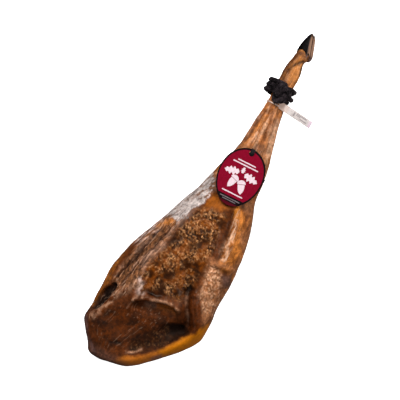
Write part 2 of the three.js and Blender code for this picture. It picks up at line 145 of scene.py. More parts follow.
def near_line(plan, line, reach):
    """1 on the line, fading out at about twice its reach."""
    return np.exp(-((distance_to_line(plan, line) / reach) ** 2))


def inside_outline(plan, outline, blur):
    """1 inside a closed outline and 0 outside, with an edge as soft as blur."""
    x, y = plan.T
    inside = np.zeros(len(plan), bool)
    closed = [*outline, outline[0]]
    for (ax, ay), (bx, by) in zip(closed[:-1], closed[1:]):
        if ay == by:
            continue
        spans = (ay > y) != (by > y)
        inside ^= spans & (x < ax + (y - ay) * (bx - ax) / (by - ay))
    away = distance_to_line(plan, closed)
    return ramp(np.where(inside, away, -away), -blur, blur)


# Materials

def linear(red, green, blue):
    """A colour given as 0 to 255 on a screen, as the renderer's linear values."""
    screen = np.array([red, green, blue]) / 255
    return np.where(screen <= 0.04045, screen / 12.92, ((screen + 0.055) / 1.055) ** 2.4)


def paint(red, green, blue):
    """The same, with an alpha of 1 for a colour socket."""
    return (*[float(value) for value in linear(red, green, blue)], 1.0)


class Finish:
    """A node material, with short ways to add and join its nodes."""

    def __init__(self, name, **sockets):
        self.material = bpy.data.materials.new(name)
        self.material.use_nodes = True
        self.tree = self.material.node_tree
        self.shader = self.tree.nodes["Principled BSDF"]
        self.wire(**sockets)

    def add(self, kind, inputs=None, **settings):
        node = self.tree.nodes.new(kind)
        for key, value in settings.items():
            setattr(node, key, value)
        for key, value in (inputs or {}).items():
            self.join(value, node.inputs[key])
        return node

    def join(self, value, socket):
        """Links a node's first output or a given output, or sets a plain value."""
        if isinstance(value, bpy.types.Node):
            value = value.outputs[0]
        if isinstance(value, bpy.types.NodeSocket):
            self.tree.links.new(value, socket)
        else:
            socket.default_value = value

    def wire(self, **sockets):
        """Joins values to the shader's sockets, named with _ for spaces."""
        for key, value in sockets.items():
            self.join(value, self.shader.inputs[key.replace("_", " ")])
        return self.material

    def math(self, operation, first, second=0.0):
        return self.add("ShaderNodeMath", {0: first, 1: second}, operation=operation)

    def times(self, first, *others):
        for other in others:
            first = self.math("MULTIPLY", first, other)
        return first

    def fit(self, value, low, high, to_low=0.0, to_high=1.0):
        """The value, brought from one range to another, with smooth ends."""
        return self.add(
            "ShaderNodeMapRange",
            {"Value": value, "From Min": low, "From Max": high, "To Min": to_low, "To Max": to_high},
            interpolation_type="SMOOTHSTEP",
        )

    def between(self, value, low, high, soft):
        """1 where the value lies between two limits."""
        return self.times(self.fit(value, low - soft, low), self.fit(value, high + soft, high))

    def attribute(self, name, output="Vector"):
        return self.add("ShaderNodeAttribute", attribute_name=name).outputs[output]

    def split(self, vector):
        return self.add("ShaderNodeSeparateXYZ", {0: vector}).outputs

    def place(self):
        return self.add("ShaderNodeTexCoord").outputs["Object"]

    def stretched(self, vector, scale):
        return self.add("ShaderNodeMapping", {"Vector": vector, "Scale": scale})

    def noise(self, vector, scale, detail=2.0, roughness=0.5, distortion=0.0):
        inputs = {"Vector": vector, "Scale": scale, "Detail": detail, "Roughness": roughness}
        inputs["Distortion"] = distortion
        return self.add("ShaderNodeTexNoise", inputs)

    def mix(self, share, first, second, blend="MIX"):
        """A mix of two colours."""
        node = self.add("ShaderNodeMix", data_type="RGBA", blend_type=blend)
        for socket, value in zip((0, 6, 7), (share, first, second)):
            self.join(value, node.inputs[socket])
        return node.outputs[2]

    def shades(self, value, low, high, first, second):
        """Two screen colours, mixed as a value rises from low to high."""
        return self.mix(self.fit(value, low, high), paint(*first), paint(*second))

    def bump(self, height, strength, distance_m, below=None):
        """A relief in the shading only, on top of one below it."""
        inputs = {"Height": height, "Strength": strength, "Distance": distance_m}
        if below is not None:
            inputs["Normal"] = below
        return self.add("ShaderNodeBump", inputs)


# Meshes

def add_piece(name, mesh, material, replaced=(), smooth=True):
    """A piece that rides on the part, with its finish and the CAD nodes that it stands for."""
    mesh.materials.clear()
    mesh.materials.append(material)
    mesh.polygons.foreach_set("use_smooth", [smooth] * len(mesh.polygons))
    piece = bpy.data.objects.new(name, mesh)
    bpy.context.scene.collection.objects.link(piece)
    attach(piece, "root")
    if replaced:
        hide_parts(*replaced)
    return piece


def with_modifiers(mesh, *steps):
    """The mesh after some modifiers, each given as its kind and settings."""
    carrier = bpy.data.objects.new("carrier", mesh)
    bpy.context.scene.collection.objects.link(carrier)
    for number, (kind, settings) in enumerate(steps):
        modifier = carrier.modifiers.new(str(number), kind)
        for key, value in settings.items():
            setattr(modifier, key, value)
    bpy.context.view_layer.update()
    shape = carrier.evaluated_get(bpy.context.evaluated_depsgraph_get())
    result = bpy.data.meshes.new_from_object(shape)
    bpy.data.objects.remove(carrier)
    return result


def welded_copy(node, quads=False):
    """A CAD node's mesh with its corners joined and, if asked, its triangles paired into quads."""
    work = bmesh.new()
    work.from_mesh(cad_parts[node].data)
    bmesh.ops.remove_doubles(work, verts=work.verts, dist=1e-6)
    if quads:
        bmesh.ops.join_triangles(
            work, faces=work.faces, angle_face_threshold=math.pi, angle_shape_threshold=math.pi
        )
    mesh = bpy.data.meshes.new(node)
    work.to_mesh(mesh)
    work.free()
    return mesh


def points_of(mesh):
    """The mesh's points in millimetres, and its normals."""
    co = np.zeros(len(mesh.vertices) * 3)
    mesh.vertices.foreach_get("co", co)
    normals = np.zeros(len(mesh.vertices) * 3)
    mesh.vertex_normals.foreach_get("vector", normals)
    return co.reshape(-1, 3) / MM, normals.reshape(-1, 3)


def set_points(mesh, points):
    mesh.vertices.foreach_set("co", (points * MM).ravel())
    mesh.update()


def set_attribute(mesh, name, values):
    """Stores one value or three for each point of a mesh."""
    values = np.asarray(values, float)
    if values.ndim == 1:
        mesh.attributes.new(name, "FLOAT", "POINT").data.foreach_set("value", values)
    else:
        mesh.attributes.new(name, "FLOAT_VECTOR", "POINT").data.foreach_set("vector", values.ravel())


def mesh_from(name, points, faces):
    """A mesh of points and faces, with the faces of each closed form looking outwards."""
    mesh = bpy.data.meshes.new(name)
    mesh.from_pydata([tuple(p) for p in np.asarray(points) * MM], [], faces)
    work = bmesh.new()
    work.from_mesh(mesh)
    bmesh.ops.recalc_face_normals(work, faces=work.faces)
    work.to_mesh(mesh)
    work.free()
    return mesh


# Routes and strips

def unit(vectors):
    return vectors / np.linalg.norm(vectors, axis=-1, keepdims=True)


def even_steps(points, step):
    lengths = np.concatenate([[0], np.cumsum(np.linalg.norm(np.diff(points, axis=0), axis=1))])
    places = np.linspace(0, lengths[-1], max(2, round(lengths[-1] / step)) + 1)
    return np.stack([np.interp(places, lengths, points[:, k]) for k in range(3)], 1)


def smooth_route(corners, step):
    """Points at even steps along a smooth line through the corners."""
    corners = np.asarray(corners, float)
    padded = np.vstack([2 * corners[0] - corners[1], corners, 2 * corners[-1] - corners[-2]])
    fine = []
    for a, b, c, d in zip(padded, padded[1:], padded[2:], padded[3:]):
        for t in np.linspace(0, 1, 40, endpoint=False):
            square = (2 * a - 5 * b + 4 * c - d) * t**2
            cube = (3 * b - a - 3 * c + d) * t**3
            fine.append(0.5 * (2 * b + (c - a) * t + square + cube))
    return even_steps(np.array([*fine, corners[-1]]), step)


def tube_faces(rings, count, closed=False, first=0):
    """The faces of a tube made of rings of points, with a lid at each end unless it is closed."""
    faces = []
    for i in range(rings if closed else rings - 1):
        here, there = first + i * count, first + (i + 1) % rings * count
        for k in range(count):
            after = (k + 1) % count
            faces.append((here + k, there + k, there + after, here + after))
    if not closed:
        faces.append([first + k for k in range(count)])
        faces.append([first + (rings - 1) * count + k for k in reversed(range(count))])
    return faces


def strip_mesh(name, centres, ups, acrosses, width, thickness, closed=False):
    """A flat strip with rounded edges. Its Run attribute is the way along it and across it."""
    profile = []
    for a in np.arange(12) / 12 * 2 * math.pi:
        side, lift = math.cos(a), math.sin(a)
        profile.append((
            math.copysign(abs(side) ** 0.35, side) * width / 2,
            math.copysign(abs(lift) ** 0.8, lift) * thickness / 2,
        ))
    lengths = np.linalg.norm(np.diff(centres, axis=0), axis=1)
    points, runs = [], []
    for centre, up, across, along in zip(centres, ups, acrosses, [0, *np.cumsum(lengths)]):
        points += [centre + across * a + up * b for a, b in profile]
        runs += [(along, a, 0) for a, _ in profile]
    mesh = mesh_from(name, points, tube_faces(len(centres), len(profile), closed))
    set_attribute(mesh, "Run", np.array(runs) * MM)
    return mesh


# The ham's forms. Each outline or line is in the plan as the picture shows it, from straight above.

VOXEL = 2.0
BASE_Z = 3  # below this the skin keeps the flat on which it lies

DEEPEST_WRINKLE = [(-235, 102), (-219, 96), (-182, 86), (-137, 79), (-98, 72)]
SECOND_WRINKLE = [(-241, 87), (-208, 78), (-178, 72), (-139, 64), (-104, 57), (-75, 53)]
GROOVE_BESIDE_RIDGE = [(-2, -40), (-45, -52), (-94, -65)]
GROOVE_BESIDE_TENDON = [(213, 4), (190, 9), (162, 8), (142, 11)]
HOLLOW_ABOVE_LOBE = [(-188, -41), (-180, -45)]
SLIT_IN_RUMP = [(-359, 44), (-353, 25)]
FOLD_OF_PASTERN = [(306, 8), (318, 3), (330, -3), (340, -13)]

FINE_FORMS = [
    # what, line, reach, height
    ("rim of the aitch bone", [(-260, 45), (-245, 26), (-233, -10), (-232, -42)], 5, 3),
    ("drop behind the rim", [(-266, 38), (-257, 20), (-247, 0), (-240, -22), (-238, -36)], 6, -3.5),
    ("dent before the rim", [(-229, 24), (-228, 10), (-223, 0)], 6, -4),
    ("edge of the left rim", [(-311, 118), (-284, 114), (-250, 109), (-215, 109)], 3, 2.5),
    (
        "crest beside the rump",
        [(-326, 104), (-304, 91), (-289, 87), (-265, 82), (-245, 68), (-229, 56)], 4.5, 3,
    ),
    ("groove beside the lobe", [(-176, -40), (-200, -48), (-222, -60), (-248, -80)], 6, -2.5),
    ("hollow above the lobe", HOLLOW_ABOVE_LOBE, 6, -4),
    ("top of the lobe", [(-196, -52), (-190, -60)], 4, 3),
    ("crown of the lobe", [(-208, -66), (-236, -86)], 10, 3),
    ("slit in the rump", SLIT_IN_RUMP, 3, -1.5),
    ("fold across the thigh", [(-115, -54), (-112, -74), (-106, -99)], 5, 1.5),
    ("groove under the fold", [(-123, -58), (-121, -80), (-115, -104)], 5, -2),
    ("ridge along the thigh", [(6, -48), (-23, -60), (-63, -73), (-96, -80)], 6, 1.6),
    ("groove beside the ridge", GROOVE_BESIDE_RIDGE, 4, -2),
    ("second thigh line", [(-60, -40), (-96, -52)], 2.5, 1.5),
    ("third thigh line", [(-54, -34), (-100, -45)], 2.5, 1.5),
    ("deepest wrinkle", DEEPEST_WRINKLE, 3, -3.5),
    ("second wrinkle", SECOND_WRINKLE, 3, -2.5),
    ("tendon", [(236, -11), (190, -8), (158, -11), (110, -22)], 4, 2),
    ("groove beside the tendon", GROOVE_BESIDE_TENDON, 5, -2.5),
    ("fold of the pastern", FOLD_OF_PASTERN, 3, -2.5),
    ("crease beside the fetlock", [(334, -16), (322, -20), (312, -24)], 3, -2),
]

OUTLINES = {
    # name: outline, softness of its edge
    "middle": ([
        (-30, 24), (-12, -7), (-14, -41), (-64, -37), (-111, -51), (-150, -50), (-190, -51),
        (-214, -37), (-219, -1), (-227, 25), (-229, 55), (-190, 56), (-166, 47), (-122, 44), (-60, 35),
    ], 7),
    "fibres": ([
        (-40, 47), (-61, 40), (-118, 47), (-159, 51), (-188, 57), (-228, 56), (-250, 78), (-262, 92),
        (-240, 104), (-195, 100), (-142, 91), (-105, 82), (-70, 70),
    ], 7),
    "strip": ([
        (-119, -54), (-114, -68), (-126, -82), (-147, -94), (-183, -108), (-213, -113), (-237, -110),
        (-225, -96), (-205, -87), (-188, -74), (-173, -65), (-155, -61), (-137, -57),
    ], 11),
    "lobe": ([
        (-198, -48), (-187, -63), (-192, -73), (-206, -85), (-223, -96), (-242, -101), (-256, -102),
        (-262, -95), (-255, -83), (-239, -69), (-219, -56),
    ], 4),
    "basin": ([
        (-332, 104), (-300, 84), (-268, 50), (-256, 10), (-248, -40), (-284, -42), (-322, 4),
        (-356, 14), (-388, 55),
    ], 10),
    "pit": ([
        (-314, 111), (-300, 112), (-286, 109), (-269, 107), (-254, 101), (-248, 95), (-261, 91),
        (-272, 92), (-289, 93), (-301, 96), (-311, 103),
    ], 2.5),
    "bottom": ([
        (-326, 8), (-310, -4), (-293, -25), (-268, -45), (-259, -60), (-257, -72), (-263, -82),
        (-278, -74), (-306, -58), (-324, -41), (-342, -21), (-356, -5), (-356, 6),
    ], 6),
    "deep": ([(-272, -44), (-262, -50), (-256, -70), (-262, -84), (-276, -74), (-286, -56)], 6),
    "fat": ([
        (-326, -52), (-314, -60), (-296, -70), (-276, -82), (-264, -92), (-250, -102), (-230, -110),
        (-219, -121), (-248, -140), (-300, -120), (-345, -90), (-338, -62),
    ], 5),
    "fat low": ([
        (-379, 13), (-362, -12), (-346, -34), (-328, -50), (-334, -66), (-345, -90), (-385, -50),
        (-405, 8), (-390, 17),
    ], 5),
    "rim": ([
        (-150, 104), (-180, 109), (-213, 112), (-229, 111), (-248, 108), (-266, 110), (-290, 112),
        (-312, 114), (-300, 135), (-258, 140), (-200, 130), (-148, 112),
    ], 4),
    "mould": ([
        (46, 20), (6, 19), (-10, 23), (-26, 27), (-45, 36), (-63, 40), (-76, 45), (-69, 56), (-71, 67),
        (-82, 88), (-15, 72), (46, 60),
    ], 9),
    "amber": ([
        (-3, 17), (12, 15), (15, 3), (8, -14), (4, -30), (-11, -22), (-16, -1), (-28, 13),
    ], 9),
    "flank": ([
        (19, -56), (6, -76), (-30, -90), (-100, -100), (-147, -104), (-180, -108), (-181, -135),
        (-60, -130), (40, -100), (40, -62),
    ], 7),
    "thigh": ([(16, -46), (6, -58), (-20, -82), (-80, -96), (-114, -100), (-112, -70), (-48, -60)], 7),
    "bruise": ([(-125, -84), (-117, -104), (-137, -115), (-147, -104), (-137, -92)], 6),
}

TONES = {
    "skin": linear(150, 92, 50),
    "skin grey": linear(128, 92, 72),
    "skin amber": linear(176, 106, 44),
    "lean": linear(84, 40, 14),
    "basin": linear(74, 31, 3),
    # darker blotches of the basin; also painted shade in the trough, the pit and along the foot of the fat
    # roll
    "basin dark": linear(36, 12, 2),
    "fibres": linear(132, 84, 52),
    # painted shade for the wrinkles of the fibrous band
    "wrinkle shade": linear(48, 22, 10),
    # paler patches of the fibrous band, and painted highlights on it
    "fibres pale": linear(150, 112, 92),
    "middle": linear(46, 18, 2),
    "middle warm": linear(100, 48, 7),
    "strip": linear(154, 100, 64),
    # pale crust lumps of the strip, partly a painted highlight
    "strip pale": linear(236, 186, 152),
    "lobe": linear(80, 36, 9),
    "fat": linear(190, 110, 12),
    "fat brown": linear(188, 106, 30),
    "orange": linear(204, 122, 52),
    "mauve": linear(164, 106, 68),
    "amber": linear(150, 80, 20),
    "rump": linear(116, 76, 60),
    "shank": linear(168, 102, 54),
    # darker streaks of the shank, and painted shade in the groove beside the tendon
    "shank dark": linear(104, 52, 16),
    "shank pale": linear(200, 152, 118),
    "shank dull": linear(104, 64, 42),
    "foot": linear(180, 114, 54),
    "foot dark": linear(84, 44, 20),
    "mould": linear(184, 170, 164),
    "mould grey": linear(116, 86, 70),
    "bloom": linear(214, 182, 168),
    # painted shade for hollows, slits, grooves and creases; a few dark spots and fine dark lines use it too
    "hollow": linear(18, 5, 3),
    # painted highlight along crests, rims and edges
    "crest": linear(178, 130, 100),
    "rim": linear(142, 80, 26),
    # painted highlight along the thigh's ridge and the tendon
    "streak": linear(226, 176, 140),
    "purple": linear(120, 88, 82),
    "bruise": linear(92, 64, 54),
}

# Strokes of tone on top of the regions: tone, amount, reach, line. Some are painted shade in hollows and
# creases, some painted highlights along crests and ridges.
STROKES = [
    # painted shade in the two deepest wrinkles
    ("wrinkle shade", 0.9, 4, DEEPEST_WRINKLE),
    ("wrinkle shade", 0.7, 3, SECOND_WRINKLE),
    # painted highlights on the fibrous band
    ("fibres pale", 0.6, 7, [(-176, 70), (-152, 57), (-130, 49)]),
    ("fibres pale", 0.5, 4, [(-112, 52), (-89, 48), (-69, 43)]),
    ("bloom", 1.0, 7, [(-219, 54), (-236, 42)]),
    # painted highlights along the crest beside the rump and the rim of the aitch bone
    ("crest", 0.9, 6, [(-330, 102), (-310, 96), (-289, 86), (-265, 81), (-244, 64), (-228, 54)]),
    (
        "crest", 0.8, 4.5,
        [(-261, 45), (-252, 39), (-245, 26), (-238, 7), (-232, -10), (-231, -25), (-232, -43)],
    ),
    ("amber", 0.7, 6, [(-245, -8), (-239, -26), (-238, -40)]),
    ("fibres pale", 0.6, 5, [(-254, 16), (-248, 4)]),
    # painted shade in the drop behind the aitch rim, the dent before it, and the groove and hollows round
    # the lobe
    ("hollow", 0.3, 5, [(-264, 36), (-257, 21), (-251, 8)]),
    ("hollow", 0.9, 6, [(-230, 24), (-229, 12), (-226, 4)]),
    ("hollow", 0.5, 6, [(-176, -39), (-202, -50), (-222, -61), (-246, -78)]),
    ("hollow", 0.9, 6, HOLLOW_ABOVE_LOBE),
    ("hollow", 0.6, 12, [(-241, -42), (-242, -64), (-253, -76)]),
    ("hollow", 0.8, 9, [(-336, 86), (-331, 72)]),
    ("hollow", 0.5, 9, [(-383, 72), (-388, 60)]),
    # painted shade in the slit in the rump and the groove beside the thigh's ridge
    ("hollow", 1.0, 3, SLIT_IN_RUMP),
    ("hollow", 0.5, 4, GROOVE_BESIDE_RIDGE),
    ("hollow", 0.5, 2.5, [(-58, -38), (-100, -50)]),
    ("hollow", 0.5, 2, [(-28, -54), (-64, -66)]),
    # painted shade along the foot of the fat roll and at the trough's end, with a painted highlight on the
    # roll's edge
    ("basin dark", 0.8, 5, [(-356, -4), (-335, -34), (-306, -56), (-276, -76), (-262, -86)]),
    ("crest", 0.7, 2.5, [(-362, 4), (-352, -9), (-340, -19)]),
    ("hollow", 0.9, 4, [(-347, 2), (-343, -8)]),
    ("purple", 0.7, 5, [(-346, -50), (-333, -62)]),
    ("orange", 0.9, 7, [(-8, -66), (4, -60)]),
    ("orange", 0.8, 7, [(-56, -86), (-76, -92)]),
    ("orange", 0.6, 8, [(-100, -84), (-112, -84)]),
    ("mauve", 0.8, 9, [(-32, -80), (-46, -92)]),
    # painted highlight along the ridge of the thigh
    ("streak", 0.9, 4, [(3, -51), (-29, -60), (-50, -65)]),
    ("streak", 0.75, 8, [(-60, -68), (-75, -70), (-92, -73)]),
    ("orange", 0.7, 5, [(-6, -66), (-34, -76), (-70, -88)]),
    ("mauve", 0.7, 7, [(-112, -54), (-108, -74), (-102, -97)]),
    ("fat", 0.8, 6, [(8, -46), (-6, -52)]),
    ("bloom", 1.0, 8, [(-90, 80), (-108, 85), (-129, 93), (-148, 101)]),
    ("purple", 0.6, 4, [(-338, 114), (-368, 95), (-395, 62)]),
    # painted highlight on the tendon
    ("streak", 0.3, 4, [(232, -12), (205, -14)]),
    ("orange", 0.7, 4, [(205, -1), (170, 2), (148, 3)]),
    # painted shade in the groove beside the tendon
    ("shank dark", 0.9, 4, GROOVE_BESIDE_TENDON),
    # painted highlight along the tendon
    ("streak", 0.4, 4, [(190, -6), (176, -10), (156, -11)]),
    ("streak", 0.8, 3, [(166, -3), (146, -5)]),
    ("shank pale", 0.9, 7, [(205, -28), (165, -38), (140, -46)]),
    ("foot dark", 0.7, 8, [(316, 16), (330, 10), (346, 6)]),
    # painted highlight along the lobe's left edge
    ("crest", 0.25, 2.5, [(-198, -46), (-210, -51), (-226, -62), (-241, -74)]),
    ("skin amber", 0.9, 5, [(-80, 56), (-88, 68), (-100, 79)]),
    ("shank dark", 0.7, 4, [(228, 0), (200, -16), (158, -19), (118, -20)]),
    ("skin grey", 0.5, 8, [(200, 14), (150, 17), (118, 20), (90, 28)]),
    ("foot dark", 1.0, 6, [(285, 11), (300, 13), (313, 13), (330, 11), (347, 8)]),
    # painted shade in the fold of the pastern and the crease beside the fetlock
    ("hollow", 0.9, 3, FOLD_OF_PASTERN),
    ("hollow", 0.9, 3, [(336, -15), (322, -19), (312, -23)]),
    ("foot dark", 0.9, 6, [(278, -4), (292, 3), (308, 4)]),
    ("shank dull", 1.0, 12, [(138, -26), (126, -30), (112, -38)]),
    ("mould", 0.6, 5, [(196, 17), (168, 19), (145, 24), (122, 30)]),
    ("foot dark", 0.9, 6, [(352, 12), (353, 0), (350, -14)]),
]

FLAKING = ("crest", "streak", "bloom", "mould")  # the tones whose strokes break up into specks
FLECK_TURN = np.array(Matrix.Rotation(math.radians(-25), 3, "Z"))  # the way that mould's flecks run
FAT_EDGE = [(-361, 0), (-335, -38), (-306, -60), (-276, -82), (-262, -92)]  # matt along it
BARE_HOLES = [[(-230, 24), (-226, 4)], HOLLOW_ABOVE_LOBE]  # no crust in them
SCRATCHED_LINES = [  # pale scratches show along these
    [(-326, 106), (-290, 99), (-265, 86), (-245, 68)],
    [(-214, 58), (-222, 48)],
    [(4, -50), (-23, -62), (-63, -75), (-96, -80)],
]
EDGE_WAVER = 2.5  # how far the regions' edges and the lines wander from their places

ROUGHNESS = [
    # region, height, seed of its noise, size of its cells, whether they follow the leg
    ("all", 1.2, 1, 52, False),
    ("all", 0.7, 2, 21, False),
    ("crusty", 1.0, 4, 13, False),
    ("fibres", 1.4, 5, (60, 8, 8), True),
    ("basin", 0.4, 9, 11, False),
    ("basin", 0.8, 10, (30, 9, 9), True),
    ("bottom", 1.2, 8, 12, False),
    ("bottom", 0.7, 55, 6, False),
    ("shank", 1.1, 13, (85, 16, 16), True),
    ("shank", 0.5, 14, (50, 7, 7), True),
    ("mould", 0.9, 15, 9, False),
    ("foot", 0.6, 16, (14, 8, 8), False),
]
LUMP_HEIGHT = 1.5
WRINKLE_DEPTH = 1.6
SUNKEN = {"pit": 8, "bottom": 3, "deep": 4}  # how much deeper these regions lie than in the solid


def as_seen(points):
    """The plan as the picture shows it: what stands higher lies a little further from its middle."""
    centre = np.array(VIEW_CENTRE)
    spread = 1 + (points[:, 2:] - SILHOUETTE_Z) / CAMERA_DISTANCE
    return centre + (points[:, :2] - centre) * spread


def section_limits(points, step=14):
    """The middle, half width and half height of the leg at places along it, off the CAD solid."""
    places = np.arange(points[:, 0].min() + step, points[:, 0].max(), step)
    limits = []
    for place in places:
        ring = points[np.abs(points[:, 0] - place) < step]
        low, high = ring[:, 1:].min(0), ring[:, 1:].max(0)
        limits.append([*(low + high) / 2, *(high - low) / 2])
    return places, np.array(limits)


cad_points, _ = points_of(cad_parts["ham"].data)
leg_places, leg_limits = section_limits(cad_points)


def leg_grain(points, radius=60):
    """Coordinates that follow the leg: along it, and across it as if it were as thick throughout."""
    columns = [np.interp(points[:, 0], leg_places, column) for column in leg_limits.T]
    middle_y, middle_z, half_y, half_z = columns
    across = (points[:, 1] - middle_y) / half_y
    up = (points[:, 2] - middle_z) / half_z
    return np.column_stack([points[:, 0], across * radius, up * radius])


def ham_masks(points, normals):
    """The plan with a wavering edge, and how much of each surface a point has, from 0 to 1."""
    waver = np.column_stack([Noise(11)(points, 16), Noise(12)(points, 16)])
    plan = as_seen(points) + waver * EDGE_WAVER
    up = ramp(normals[:, 2], -0.2, 0.25)
    masks = {name: inside_outline(plan, *shape) for name, shape in OUTLINES.items()}
    for name in ("middle", "fibres", "lobe", "basin", "pit", "bottom", "deep", "amber", "mould"):
        masks[name] = masks[name] * up
    sparse = 0.15 * masks["bottom"] * (1 - masks["deep"])
    crusty = np.clip(masks["middle"] + 0.9 * masks["strip"] + sparse, 0, 1)
    masks["crusty"] = crusty * (1 - np.maximum(masks["lobe"], masks["amber"]))
    masks["all"] = np.ones(len(points))
    masks["up"] = up
    masks["shank"] = ramp(points[:, 0], 20, 95)
    masks["lean"] = ramp(points[:, 2], 62, 78) * up * (1 - masks["shank"])
    masks["rump"] = ramp(points[:, 0], -368, -390)
    masks["foot"] = ramp(points[:, 0], 270, 300)
    return plan, masks


def ham_relief(points, normals, grain, plan, masks):
    """How far each point of the ham moves outwards."""
    up = ramp(normals[:, 2], 0.0, 0.45)
    height = LUMP_HEIGHT * masks["crusty"] * crust_lumps(points)
    height -= WRINKLE_DEPTH * masks["fibres"] * wrinkles(grain)
    for region, depth in SUNKEN.items():
        height -= depth * masks[region]
    for _, line, reach, rise in FINE_FORMS:
        height += up * rise * near_line(plan, line, reach)
    for region, rise, seed, size, follows_leg in ROUGHNESS:
        height += masks[region] * rise * Noise(seed)(grain if follows_leg else points, size)
    return height * ramp(points[:, 2], BASE_Z, BASE_Z + 9)


def crust_lumps(points):
    """Lumps and curls of dried crust, from 0 to 1, in clusters."""
    curls = ramp(np.abs(Noise(3)(points, 11)), 0.26, 0.04) * ramp(Noise(49)(points, 9), -0.4, 0.2)
    grains = ramp(Noise(41)(points, 4.8), -0.2, 0.5)
    clusters = ramp(Noise(42)(points, 30) + 0.5 * Noise(43)(points, 14), -0.45, 0.3)
    return np.maximum(curls * 0.65, grains) * clusters


def wrinkles(grain):
    """Thin furrows, from 0 to 1, that run a little askew along the meat's fibres. The relief sinks along
    them, and painted shade darkens them.
    """
    askew = grain + np.outer(grain[:, 0], (0, 0.3, 0.3))
    thin = ramp(np.abs(Noise(44)(askew, (48, 8, 8))), 0.22, 0.02)
    finer = ramp(np.abs(Noise(45)(askew, (34, 5, 5))), 0.2, 0.02)
    return np.maximum(thin, 0.6 * finer)


def ham_tones(points, plan, masks, grain):
    """The base colour of each point of the ham, with painted shade in its hollows, creases and trough, and
    painted highlights along its crests and ridges.
    """
    tone = np.tile(TONES["skin"], (len(points), 1))
    x = points[:, 0]

    def lay(name, region, share=1.0):
        nonlocal tone
        tone = tone + (TONES[name] - tone) * np.clip(masks[region] * share, 0, 1)[:, None]

    def patches(seed, size, low, high, at=points):
        return ramp(Noise(seed)(at, size), low, high)

    lay("skin grey", "all", patches(21, 34, -0.1, 0.5))
    lay("skin amber", "all", patches(22, 40, 0.05, 0.5) * 0.8)
    lay("lean", "lean")
    lay("mauve", "flank", 0.85)
    lay("orange", "flank", patches(24, 20, 0.1, 0.5) * 0.6)
    lay("basin", "basin")
    blotches = Noise(20)(grain, (36, 18, 18)) + 0.5 * Noise(46)(points, 9)
    lay("basin dark", "basin", ramp(blotches, -0.1, 0.7) * 0.8)
    lay("fibres", "fibres")
    lay("fibres pale", "fibres", patches(29, (40, 8, 8), 0.1, 0.6, grain) * 0.7)
    # painted shade in the wrinkles
    lay("wrinkle shade", "fibres", wrinkles(grain) * 0.8)
    lay("middle", "middle")
    warmth = Noise(23)(points, 24) + 0.5 * Noise(47)(points, 9)
    lay("middle warm", "middle", ramp(warmth, -0.15, 0.4))
    lay("amber", "amber", 0.9)
    lay("orange", "thigh", 0.5 + 0.35 * Noise(19)(points, 16))
    lay("bruise", "bruise", 0.9)
    lay("strip", "strip")
    # pale crust lumps on the strip, partly a painted highlight
    lay("strip pale", "strip", crust_lumps(points))
    lay("middle warm", "strip", patches(57, 15, 0.0, 0.5) * 0.35)
    lay("fat brown", "fat low")
    lay("orange", "fat low", patches(18, 18, 0.1, 0.5) * 0.3)
    lay("fat", "fat")
    lay("lobe", "lobe")
    lay("rump", "rump", 0.85)
    lay("rim", "rim", 0.9)
    lay("orange", "rim", patches(17, 18, 0.1, 0.5) * 0.5)
    # painted shade in the sunken trough, partly in patches, and in the deep hollow
    lay("basin dark", "bottom", 0.9)
    lay("hollow", "bottom", patches(25, 12, -0.5, 0.3) * 0.8)
    lay("hollow", "deep", 0.9)
    lay("shank", "shank")
    streaks = 0.6 * Noise(13)(grain, (85, 16, 16)) + 0.4 * Noise(26)(grain, (50, 7, 7))
    lay("shank dark", "shank", ramp(streaks + Noise(51)(grain, (26, 18, 18)), 0.05, -0.6) * 0.7)
    lay("shank pale", "shank", ramp(streaks + Noise(52)(grain, (34, 18, 18)), 0.15, 0.7) * 0.6)
    lay("foot", "foot", 0.7)
    turned = points @ FLECK_TURN
    flecks = Noise(27)(turned, (16, 5, 7)) + 0.6 * Noise(48)(points, 4.5)
    lay("mould grey", "mould", 0.75)
    lay("mould", "mould", ramp(x, -30, -60) * 0.4)
    thick = masks["mould"] * 1.3 - 1 + 0.3 * ramp(x, 10, -20)
    lay("mould", "all", ramp(masks["mould"], 0, 0.3) * ramp(flecks + thick, -0.35, 0.2))
    veins = ramp(np.abs(Noise(56)(turned, (38, 10, 14))), 0.16, 0.02)
    lay("mould grey", "mould", veins * (0.3 + 0.5 * ramp(x, -30, 10)))
    uneven = 0.95 + 0.4 * Noise(28)(points, 7)
    specks = ramp(Noise(53)(grain, (16, 5, 5)) + 0.4 * Noise(54)(points, 4.5), -0.4, 0.35)
    for name, amount, reach, line in STROKES:
        broken = specks if name in FLAKING else uneven
        lay(name, "up", amount * near_line(plan, line, reach) * broken)
    # painted shade in the pit
    lay("basin dark", "pit")
    lay("hollow", "pit", 0.85)
    return tone


